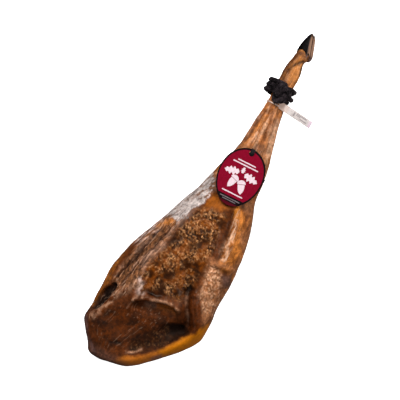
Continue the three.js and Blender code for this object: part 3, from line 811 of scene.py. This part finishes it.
def ham_material():
    """Cured meat, fat and skin: base tones from the points, with crust whose pale lumps are partly a painted
    highlight, streaks and grease.
    """
    finish = Finish("cured_meat", Specular_IOR_Level=0.17, Specular_Tint=(1.0, 0.78, 0.6, 1.0))
    place = finish.place()
    grain = finish.attribute("Grain")
    crust = finish.attribute("Crust", "Fac")
    streak = finish.attribute("Streak", "Fac")
    scratched = finish.attribute("Scratch", "Fac")
    uneven = finish.attribute("Uneven", "Fac")

    grit = finish.fit(finish.noise(place, 330, detail=3, roughness=0.6, distortion=0.4), 0.47, 0.62)
    # the colour of the crust's lumps, partly a painted highlight on them
    crust_and_highlight = finish.shades(finish.noise(place, 120, detail=2), 0.35, 0.65, (154, 86, 27), (234, 166, 108))
    fibre = finish.noise(finish.stretched(grain, (18, 380, 380)), 1.0, detail=4, roughness=0.6)
    mottle = finish.noise(place, 90, detail=4, roughness=0.6)
    speckle = finish.noise(place, 230, detail=3, roughness=0.6)
    colour = finish.attribute("Tone")
    for share, pattern, low, high in (uneven, mottle, 0.6, 1.4), (uneven, speckle, 0.72, 1.28):
        colour = finish.mix(share, colour, finish.fit(pattern, 0.3, 0.7, low, high), "MULTIPLY")
    fibred = finish.mix(1.0, colour, finish.fit(fibre, 0.3, 0.7, 0.5, 1.45), "MULTIPLY")
    colour = finish.mix(streak, colour, fibred)
    lumps = finish.times(crust, finish.fit(grit, 0, 1, 0.32, 1.0))
    colour = finish.mix(lumps, colour, crust_and_highlight)
    scratches = finish.times(scratched, finish.fit(fibre, 0.57, 0.66))
    colour = finish.mix(scratches, colour, paint(212, 170, 140))

    pores = finish.noise(place, 420, detail=3)
    relief = finish.bump(finish.times(speckle, uneven), 0.6, 0.0010, finish.bump(mottle, 0.5, 0.0012))
    relief = finish.bump(lumps, 0.7, 0.0012, relief)
    relief = finish.bump(finish.times(fibre, streak), 0.8, 0.0012, relief)
    relief = finish.bump(pores, 0.35, 0.0004, relief)
    grease = finish.fit(finish.noise(place, 60, detail=3), 0.35, 0.65, 0.3, 0.5)
    matte = finish.times(finish.attribute("Matte", "Fac"), 0.4)
    return finish.wire(Base_Color=colour, Roughness=finish.math("ADD", grease, matte), Normal=relief)


def ham_attributes(points, plan, masks):
    """What the ham's material reads from its points."""
    crust = masks["crusty"] * crust_lumps(points)
    for line in BARE_HOLES:
        crust *= 1 - near_line(plan, line, 9)
    scratch = 0.12 * masks["basin"] + 0.4 * masks["fibres"] + 0.3 * masks["shank"]
    for line in SCRATCHED_LINES:
        scratch += masks["up"] * near_line(plan, line, 8)
    smooth = 0.75 * np.maximum(masks["fat"], masks["fat low"]) + 0.4 * masks["amber"]
    matte = masks["pit"] + masks["mould"] + masks["deep"] + 0.8 * masks["bottom"]
    matte += 0.5 * masks["basin"] + 0.4 * masks["rump"] + 0.3 * masks["fibres"]
    return {
        "Crust": crust,
        "Scratch": scratch,
        "Streak": masks["fibres"] + 0.2 * masks["shank"] + 0.15,
        "Uneven": 1 - np.clip(smooth + 0.3 * masks["foot"], 0, 1),
        "Matte": matte + near_line(plan, FAT_EDGE, 8),
    }


def add_ham():
    mesh = with_modifiers(
        welded_copy("ham", quads=True),
        ("SUBSURF", {"levels": 2, "render_levels": 2}),
        ("REMESH", {"mode": "VOXEL", "voxel_size": VOXEL * MM}),
    )
    points, normals = points_of(mesh)
    grain = leg_grain(points)
    plan, masks = ham_masks(points, normals)
    moved = points + normals * ham_relief(points, normals, grain, plan, masks)[:, None]
    moved[:, 2] = np.maximum(moved[:, 2], 0)
    set_points(mesh, moved)
    set_attribute(mesh, "Tone", ham_tones(points, plan, masks, grain))
    set_attribute(mesh, "Grain", grain * MM)
    for name, values in ham_attributes(points, plan, masks).items():
        set_attribute(mesh, name, np.clip(values, 0, 1))
    return add_piece("ham_body", mesh, ham_material(), ["ham"])


ham = add_ham()
ham_tree = BVHTree.FromObject(ham, bpy.context.evaluated_depsgraph_get())


def height_over(x, y):
    """The height of the lean side over a place in the plan."""
    hit, _, _, _ = ham_tree.ray_cast(Vector((x, y, 1000)) * MM, Vector((0, 0, -1)))
    return hit.z / MM


def ring_round_ham(x_at, lift, count):
    """Points round the leg, a little off its surface, and the outward directions there."""
    points, outs = [], []
    for angle in np.arange(count) / count * 2 * math.pi:
        x = x_at(angle)
        middle = [np.interp(x, leg_places, column) for column in leg_limits[:, :2].T]
        out = Vector((0, math.cos(angle), math.sin(angle)))
        hit, _, _, _ = ham_tree.ray_cast((Vector((x, *middle)) + out * 200) * MM, -out)
        points.append(np.array(hit) / MM + np.array(out) * lift)
        outs.append(np.array(out))
    return np.array(points), np.array(outs)


# The hoof

HEEL = np.array([345.4, -23.1, 66])
FOOT_TURN = math.radians(20)
FOOT_TILT = math.radians(23)
CLAW_LENGTH = 58
CLAW_HALF_WIDTH = 9
SLOT_HALF_WIDTH = 0.8
CLAW_VOXEL = 0.8


def foot_axes():
    """The foot's own directions: along the sole, up its front, and across it."""
    along = np.array([math.cos(FOOT_TURN), math.sin(FOOT_TURN), 0])
    level = np.array([-math.sin(FOOT_TURN), math.cos(FOOT_TURN), 0])
    front = level * math.cos(FOOT_TILT) - np.array([0, 0, math.sin(FOOT_TILT)])
    return np.array([along, front, np.cross(along, front)])


def horn_material():
    finish = Finish("horn", Specular_IOR_Level=0.06, Roughness=0.45)
    foot = finish.attribute("Foot")
    rings = finish.noise(finish.stretched(foot, (260, 40, 40)), 1.0, detail=3)
    streaks = finish.noise(finish.stretched(foot, (30, 600, 600)), 1.0, detail=4, roughness=0.6)
    black = finish.shades(streaks, 0.45, 0.85, (6, 4, 4), (26, 19, 18))
    brown = finish.shades(streaks, 0.3, 0.7, (140, 98, 76), (200, 158, 130))
    bulb = finish.shades(rings, 0.35, 0.65, (84, 58, 52), (116, 90, 84))
    colour = finish.mix(finish.attribute("Sole", "Fac"), black, brown)
    colour = finish.mix(finish.attribute("Bulb", "Fac"), colour, bulb)
    colour = finish.mix(finish.attribute("Edge", "Fac"), colour, paint(118, 98, 92))
    relief = finish.bump(streaks, 0.5, 0.0006, finish.bump(rings, 0.5, 0.0008))
    return finish.wire(Base_Color=colour, Normal=relief)


def add_claw(node, material):
    """A claw of the hoof, with growth rings on its wall and a sole that is hollow inside its rim."""
    mesh = with_modifiers(
        welded_copy(node),
        ("REMESH", {"mode": "VOXEL", "voxel_size": CLAW_VOXEL * MM}),
        ("SMOOTH", {"factor": 0.6, "iterations": 6}),
    )
    points, normals = points_of(mesh)
    axes = foot_axes()
    foot = (points - HEEL) @ axes.T
    facing = (normals @ axes.T)[:, 1]
    sole = ramp(facing, -0.55, -0.85)
    share = np.clip(foot[:, 0] / CLAW_LENGTH, 0, 1)
    half_width = CLAW_HALF_WIDTH * np.sqrt(1 - share**5)
    from_middle = np.abs(np.abs(foot[:, 2]) - SLOT_HALF_WIDTH - half_width)
    inner = ramp(from_middle, half_width - 1, half_width - 4) * ramp(foot[:, 0], 6, 14)
    inner *= ramp(CLAW_LENGTH - foot[:, 0], 5, 11)
    rings = 0.3 * Noise(31)(foot, (4, 30, 30)) * (1 - sole)
    moved = points + normals * (rings + 0.3 * Noise(32)(foot, 9) - 1.6 * sole * inner)[:, None]
    set_points(mesh, moved)
    set_attribute(mesh, "Foot", foot * MM)
    set_attribute(mesh, "Sole", sole * ramp(inner, -0.3, 0.6))
    set_attribute(mesh, "Bulb", ramp(foot[:, 0] + 2 * Noise(33)(foot, 6), 15, 9))
    edge = ramp(np.abs(facing + 0.45), 0.3, 0.1) * ramp(foot[:, 0], 12, 20)
    set_attribute(mesh, "Edge", 0.6 * edge)
    add_piece("visual_" + node, mesh, material, [node])


horn = horn_material()
for claw in ("hoof_claw_upper", "hoof_claw_lower"):
    add_claw(claw, horn)


# The rope

ROPE_DIAMETER = 10
ROPE_TURNS = 3
ROPE_GAP = 0.3
TURNS_START = np.array([247, 1, 68])
TURNS_RADIUS_Y = 26
TURNS_RADIUS_Z = 20
KNOT = np.array([258, -7, 97])
KNOT_SCALE = np.array([7.2, 5.2, 6.5])
INNER_KNOT_SCALE = np.array([5.2, 4.4, 4.0])
ROPE_ENDS = [
    [(264, -7, 98), (272, -14, 97), (273.5, -23, 95), (271.4, -31, 92)],
    [(254, -7, 97), (256.5, -19, 95.5), (256.5, -27, 93), (256.1, -33, 90)],
]
PLY_COUNT = 3
PLY_PITCH = 24
PLY_OFFSET = 0.12 * ROPE_DIAMETER
PLY_RADIUS = 0.39 * ROPE_DIAMETER
PLY_SIDES = 12
ROUTE_STEP = 1.6
FIBRE_COUNT = 13000


def route_frames(route):
    """At each point of a route, two directions square to it that turn as little as they can."""
    tangents = unit(np.gradient(route, axis=0))
    side = np.cross(tangents[0], (0, 0, 1))
    if np.linalg.norm(side) < 0.1:
        side = np.cross(tangents[0], (0, 1, 0))
    sides = []
    for tangent in tangents:
        side = unit(side - tangent * (side @ tangent))
        sides.append(side)
    sides = np.array(sides)
    return sides, np.cross(tangents, sides)


def twisted_rope(route, seed):
    """Points and faces of a laid rope: plies that wind round each other along a route."""
    sides, ups = route_frames(route)
    run = np.arange(len(route)) * ROUTE_STEP
    angles = np.arange(PLY_SIDES) / PLY_SIDES * 2 * math.pi
    points, faces = [], []
    for ply in range(PLY_COUNT):
        turn = (run / PLY_PITCH + ply / PLY_COUNT) * 2 * math.pi
        centre = route + PLY_OFFSET * (sides * np.cos(turn)[:, None] + ups * np.sin(turn)[:, None])
        radius = PLY_RADIUS * (1 + 0.12 * Noise(seed + ply)(route, 9))
        radius[[0, -1]] *= 0.7
        faces += tube_faces(len(route), PLY_SIDES, first=len(points))
        for i in range(len(route)):
            ring = np.cos(angles)[:, None] * sides[i] + np.sin(angles)[:, None] * ups[i]
            points += list(centre[i] + radius[i] * ring)
    return points, faces


def trefoil(centre, scale, turn=0.0):
    """The route of a plain knot, turned by an angle in its own plane."""
    a = np.linspace(0, 2 * math.pi, 300)
    x = np.sin(a) + 2 * np.sin(2 * a)
    y = np.cos(a) - 2 * np.cos(2 * a)
    turned = np.stack([
        x * math.cos(turn) - y * math.sin(turn),
        x * math.sin(turn) + y * math.cos(turn),
        -np.sin(3 * a),
    ], 1)
    return even_steps(centre + scale * turned, ROUTE_STEP)


def rope_routes():
    turned = np.linspace(0, ROPE_TURNS, 400)
    angle = math.pi / 2 + turned * 2 * math.pi
    turns = TURNS_START + np.stack([
        turned * (ROPE_DIAMETER + ROPE_GAP),
        TURNS_RADIUS_Y * np.cos(angle),
        TURNS_RADIUS_Z * np.sin(angle),
    ], 1)
    return [
        even_steps(turns, ROUTE_STEP),
        trefoil(KNOT, KNOT_SCALE),
        trefoil(KNOT - (0, 0, 3), INNER_KNOT_SCALE, math.pi),
        *[smooth_route(end, ROUTE_STEP) for end in ROPE_ENDS],
    ]


def loose_fibres(routes):
    """Short loose fibres that stand off the rope, each a bent sliver."""
    draw = np.random.default_rng(41)
    stations = np.vstack(routes)
    directions = unit(np.vstack([np.gradient(route, axis=0) for route in routes]))
    points, faces = [], []
    for i in draw.integers(0, len(stations), FIBRE_COUNT):
        tangent = directions[i]
        out = draw.normal(size=3)
        out = unit(out - tangent * (out @ tangent))
        root = stations[i] + out * ROPE_DIAMETER * 0.42 + tangent * draw.uniform(-1, 1)
        across = unit(np.cross(out, draw.normal(size=3))) * 0.09
        lean = out * draw.uniform(0.5, 1.2) + tangent * draw.normal(0, 0.7) + draw.normal(size=3) * 0.4
        bend = root + lean
        tip = bend + lean * 0.7 + draw.normal(size=3) * 0.6
        first = len(points)
        points += [root - across, root + across, bend + across, bend - across, tip]
        faces += [(first, first + 1, first + 2, first + 3), (first + 3, first + 2, first + 4)]
    return points, faces


def rope_material():
    finish = Finish("black_cord", Roughness=0.95, Specular_IOR_Level=0.06)
    finish.wire(Sheen_Weight=0.02, Sheen_Roughness=0.5)
    fluff = finish.noise(finish.place(), 500, detail=4, roughness=0.7)
    patches = finish.noise(finish.place(), 90, detail=2)
    colour = finish.shades(patches, 0.35, 0.7, (5, 3, 4), (44, 36, 39))
    colour = finish.mix(finish.fit(fluff, 0.5, 0.8), colour, paint(84, 74, 78))
    return finish.wire(Base_Color=colour, Normal=finish.bump(fluff, 0.9, 0.0012))


def add_rope():
    routes = rope_routes()
    parts = [twisted_rope(route, 50 + 10 * number) for number, route in enumerate(routes)]
    points, faces = [], []
    for more_points, more_faces in [*parts, loose_fibres(routes)]:
        faces += [[len(points) + k for k in face] for face in more_faces]
        points += more_points
    add_piece("rope_tied", mesh_from("rope_tied", points, faces), rope_material(), ["rope"])


add_rope()


# The seal: a thin strap round the ankle, and its flag

STRAP_X = 233.5
STRAP_WIDTH = 2.6
STRAP_THICKNESS = 1.2
FLAG_LINE = [(237, -8, 86.8), (237, -20, 85.8), (236, -40, 82), (235, -64, 78), (233.5, -91, 74)]
FLAG_STEP = 1.5
FLAG_WIDTH = 15
FLAG_THICKNESS = 0.7
FLAG_PINK_M = (0.074, 0.082)  # where the flag turns pink, along it
FLAG_MARKS_M = [
    # start and end along the flag, low and high across it
    (0.041, 0.0436, -0.004, 0.0045),
    (0.047, 0.071, 0.0026, 0.0045),
    (0.047, 0.056, 0.0002, 0.0014),
    (0.058, 0.073, -0.0035, -0.0016),
]


def seal_material(name, clear_ends_m, clear_alpha):
    """Milky film with a few plain marks, clear at its start, and pink at its far end."""
    finish = Finish(name, Roughness=0.35, Specular_IOR_Level=0.5)
    along, across, _ = finish.split(finish.attribute("Run"))
    milky = finish.noise(finish.place(), 160, detail=3)
    colour = finish.shades(milky, 0.3, 0.7, (178, 167, 163), (200, 190, 186))
    colour = finish.mix(finish.fit(along, *FLAG_PINK_M), colour, paint(198, 174, 186))
    for start, end, low, high in FLAG_MARKS_M:
        mark = finish.times(
            finish.between(along, start, end, 0.0006), finish.between(across, low, high, 0.0005)
        )
        colour = finish.mix(finish.times(mark, 0.65), colour, paint(96, 86, 88))
    clear = finish.fit(along, clear_ends_m, clear_ends_m - 0.008)
    colour = finish.mix(clear, colour, paint(222, 192, 176))
    alpha = finish.fit(clear, 0, 1, 1.0, clear_alpha)
    return finish.wire(Base_Color=colour, Alpha=alpha, Normal=finish.bump(milky, 0.3, 0.0006))


def add_seal():
    centres, outs = ring_round_ham(lambda angle: STRAP_X, 0.5 + STRAP_THICKNESS / 2, 72)
    across = np.tile([1.0, 0, 0], (len(centres), 1))
    strap = strip_mesh("seal_strap", centres, outs, across, STRAP_WIDTH, STRAP_THICKNESS, closed=True)
    add_piece("seal_strap", strap, seal_material("seal_strap", 1.0, 0.75))
    route = smooth_route(FLAG_LINE, FLAG_STEP)
    run = np.arange(len(route)) * FLAG_STEP
    route[:, 2] += 0.6 * np.sin(run / 8) * ramp(run, 10, 40)
    across = np.tile([1.0, 0, 0], (len(route), 1))
    ups = unit(np.cross(across, np.gradient(route, axis=0)))
    flag = strip_mesh("seal_flag", route, ups, across, FLAG_WIDTH, FLAG_THICKNESS)
    add_piece("seal_flag", flag, seal_material("seal_flag", 0.03, 0.6), ["seal_tag"])


add_seal()


# The label card, its print and its band

CARD_TURN = math.radians(3.5)
CARD_LENGTH = 125
CARD_WIDTH = 94.5
CARD_NARROWING = 0.05
CARD_THICKNESS = 1.6
HOLE_X = CARD_LENGTH / 2 - 9
RIM_WIDTH = 3.8
INK_BLUR = 0.2
BLACK_BELOW_X = -44
TIP_BELOW_X = -56
TIP_DARKNESS = 0.65
PRINT_HEIGHT = 0.12


def card_frame():
    """The card's own frame in the part's: x towards its hole, z out of its printed face at 0."""
    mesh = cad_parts["label_card"].data
    face = max((f for f in mesh.polygons if f.normal.z > 0.9), key=lambda f: f.area)
    up = face.normal.copy()
    along = Vector((math.cos(CARD_TURN), math.sin(CARD_TURN), 0))
    along = (along - up * along.dot(up)).normalized()
    low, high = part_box("label_card")
    centre = (Vector(low) + Vector(high)) / 2
    origin = centre + up * (face.center - centre).dot(up)
    place = Matrix((along, up.cross(along), up)).transposed().to_4x4()
    place.translation = origin / MM
    return place


CARD = card_frame()


def on_card(x, y, z=0.0):
    return np.array(CARD @ Vector((x, y, z)))


def card_material():
    """Printed card: a maroon field in a black rim, black at its lower end, with a maroon tip."""
    finish = Finish("printed_card", Roughness=0.55, Specular_IOR_Level=0.04)
    x, y, _ = finish.split(finish.attribute("Card"))
    slope = CARD_NARROWING * CARD_WIDTH / CARD_LENGTH
    long_share = finish.times(x, 2 / CARD_LENGTH)
    half_width = finish.math("ADD", finish.times(x, slope), CARD_WIDTH / 2)
    wide_share = finish.math("DIVIDE", y, half_width)
    reach = finish.math("ADD", finish.times(long_share, long_share), finish.times(wide_share, wide_share))
    inward = finish.math("SUBTRACT", 1.0, finish.math("SQRT", reach))
    from_edge = finish.times(inward, (CARD_LENGTH + CARD_WIDTH) / 4)
    rim = finish.fit(from_edge, RIM_WIDTH + INK_BLUR, RIM_WIDTH - INK_BLUR)
    lower = finish.fit(x, BLACK_BELOW_X + INK_BLUR, BLACK_BELOW_X - INK_BLUR)
    above_tip = finish.fit(x, TIP_BELOW_X - INK_BLUR, TIP_BELOW_X + INK_BLUR, TIP_DARKNESS, 1.0)
    dark = finish.times(finish.math("MAXIMUM", rim, lower), above_tip)
    paper = finish.noise(finish.place(), 300, detail=3)
    maroon = finish.shades(paper, 0.3, 0.7, (112, 0, 26), (124, 2, 34))
    black = finish.shades(paper, 0.3, 0.7, (10, 2, 4), (20, 8, 10))
    colour = finish.mix(dark, maroon, black)
    return finish.wire(Base_Color=colour, Normal=finish.bump(paper, 0.15, 0.0002))


def add_card():
    mesh = with_modifiers(
        welded_copy("label_card"),
        ("BEVEL", {"width": 0.35 * MM, "segments": 2, "limit_method": "ANGLE"}),
    )
    points, _ = points_of(mesh)
    set_attribute(mesh, "Card", (points - np.array(CARD.translation)) @ np.array(CARD.to_3x3()))
    add_piece("label_card_printed", mesh, card_material(), ["label_card"], smooth=False)


def placed(outline, x, y, turn):
    """An outline turned about its own zero and moved to its place on the card."""
    c, s = math.cos(turn), math.sin(turn)
    return outline @ np.array([[c, s], [-s, c]]) + (x, y)


def bar(x, y, height, width):
    """A bar across the card, with rounded ends."""
    outline = []
    for side, start in ((1, 0), (-1, math.pi)):
        for a in start + np.linspace(0, math.pi, 9):
            outline.append((
                x + height / 2 * math.cos(a),
                y + side * (width - height) / 2 + height / 2 * math.sin(a),
            ))
    return np.array(outline)


def leaf(x, y, length, width, turn):
    """A leaf with round lobes, from its stalk to its tip."""
    t = np.linspace(0, 1, 60)
    lobes = 0.74 + 0.26 * np.cos(2 * math.pi * (4 * t - 0.45))
    half = width / 2 * np.sin(math.pi * t**0.85) ** 0.7 * lobes + 0.35
    return placed(np.vstack([
        np.stack([t * length, half], 1), np.stack([t * length, -half], 1)[::-1]
    ]), x, y, turn)


def acorn(x, y, size, turn):
    """A nut with a small point and its cup, on either side of the place where they meet."""
    a = np.linspace(-math.pi / 2, math.pi / 2, 31)
    pointed = 0.95 * size * np.cos(a) + 1.6 * np.exp(-((a / 0.12) ** 2))
    nut = np.stack([pointed, 0.36 * size * np.sin(a)], 1)
    cup = np.stack([-0.9 - 0.42 * size * np.cos(a), -0.45 * size * np.sin(a)], 1)
    return [placed(nut, x, y, turn), placed(cup, x, y, turn)]


def ink_material(name, shades):
    finish = Finish(name, Roughness=0.5, Specular_IOR_Level=0.25)
    paper = finish.noise(finish.place(), 400, detail=3)
    return finish.wire(Base_Color=finish.shades(paper, 0.3, 0.7, *shades))


def add_print(name, outlines, *shades):
    """Flat shapes that stand a hair above the card's face."""
    points, faces = [], []
    for outline in outlines:
        faces += tube_faces(2, len(outline), first=len(points))
        for height in (-0.05, PRINT_HEIGHT):
            points += [on_card(x, y, height) for x, y in outline]
    add_piece(name, mesh_from(name, points, faces), ink_material(name, shades), smooth=False)


BAND_X = 84
BAND_RISE = 26
BAND_WIDTH = 10
LOOP_WIDTH = 8
BAND_THICKNESS = 0.8
BAND_LIFT = -0.2


def elastic_material():
    """Woven elastic: ribs across it, and cords along its length."""
    finish = Finish("woven_elastic", Roughness=0.85, Specular_IOR_Level=0.2)
    along, across, _ = finish.split(finish.attribute("Run"))
    ribs = finish.math("SINE", finish.times(along, 2 * math.pi / 0.0011))
    cords = finish.math("SINE", finish.times(across, 2 * math.pi / 0.0013))
    weave = finish.times(finish.math("ADD", ribs, 1.0), finish.math("ADD", cords, 1.0), 0.25)
    fluff = finish.noise(finish.place(), 700, detail=3)
    colour = finish.mix(weave, paint(8, 6, 7), paint(34, 30, 32))
    colour = finish.mix(finish.fit(fluff, 0.5, 0.8), colour, paint(46, 42, 44))
    return finish.wire(Base_Color=colour, Normal=finish.bump(weave, 0.7, 0.0004))


def add_label_band():
    """The band's ring round the leg, and its loop through the card's hole and over its edge."""
    material = elastic_material()
    centres, outs = ring_round_ham(
        lambda angle: BAND_X + BAND_RISE * float(ramp(math.sin(angle), 0.35, 1)),
        BAND_LIFT + BAND_THICKNESS / 2, 120,
    )
    runs = unit(np.roll(centres, -1, axis=0) - np.roll(centres, 1, axis=0))
    across = unit(np.cross(runs, outs))
    ring = strip_mesh("label_band_ring", centres, outs, across, BAND_WIDTH, BAND_THICKNESS, closed=True)
    add_piece("label_band_ring", ring, material, ["label_band"])
    edge = CARD_LENGTH / 2
    over = BAND_THICKNESS / 2 + 0.3
    under = -CARD_THICKNESS - over
    start = on_card(BAND_X + BAND_RISE - CARD.translation.x, 0)
    start[2] = height_over(start[0], start[1]) + BAND_LIFT + BAND_THICKNESS / 2
    corners = [(HOLE_X - 1, -0.4), (HOLE_X + 3, over), (edge - 3, over), (edge + 1, -0.4), (edge - 1, under)]
    loop = [start, *[on_card(x, 0, z) for x, z in corners], start + (2, 0, 0)]
    route = smooth_route(loop, 0.8)
    across = np.tile(np.array(CARD.to_3x3() @ Vector((0, 1, 0))), (len(route), 1))
    ups = unit(np.cross(across, np.gradient(route, axis=0)))
    strip = strip_mesh("label_band_loop", route, ups, across, LOOP_WIDTH, BAND_THICKNESS)
    add_piece("label_band_loop", strip, material)


add_card()
add_print(
    "label_print",
    [
        bar(32, 0, 2.4, 40),
        bar(26, 0, 2.4, 56),
        leaf(9, 6, 31, 18, math.radians(102)),
        leaf(9, -6, 31, 18, math.radians(-102)),
        leaf(9, 0, 13, 9, 0),
        *acorn(-9, 9, 20, math.radians(162)),
        *acorn(-13, -9, 20, math.radians(198)),
        bar(-37, 0, 2.4, 46),
    ],
    (204, 182, 188), (218, 198, 204),
)
add_print(
    "label_small_print",
    [bar(-48.5, 0, 2.0, 44), bar(-52.5, 0, 1.8, 30)],
    (84, 74, 76), (112, 100, 102),
)
add_label_band()


# Stage

COVE_M = 6.0
cove_corners = [(-COVE_M, -COVE_M), (COVE_M, -COVE_M), (COVE_M, COVE_M), (-COVE_M, COVE_M)]
cove_mesh = bpy.data.meshes.new("cove")
cove_mesh.from_pydata(
    [(x, y, z) for z in (0, COVE_M) for x, y in cove_corners],
    [], [(0, 1, 2, 3), *[(k, (k + 1) % 4, (k + 1) % 4 + 4, k + 4) for k in range(4)]],
)
cove_finish = Finish("pale_cove", Base_Color=(0.92, 0.92, 0.92, 1.0), Roughness=0.9, Specular_IOR_Level=0.1)
cove_mesh.materials.append(cove_finish.wire(Emission_Color=(1.0, 1.0, 1.0, 1.0), Emission_Strength=1.0))
cove = bpy.data.objects.new("cove", cove_mesh)
cove.location.z = -0.0005
cove.visible_glossy = False
cove.visible_diffuse = False
bpy.context.scene.collection.objects.link(cove)
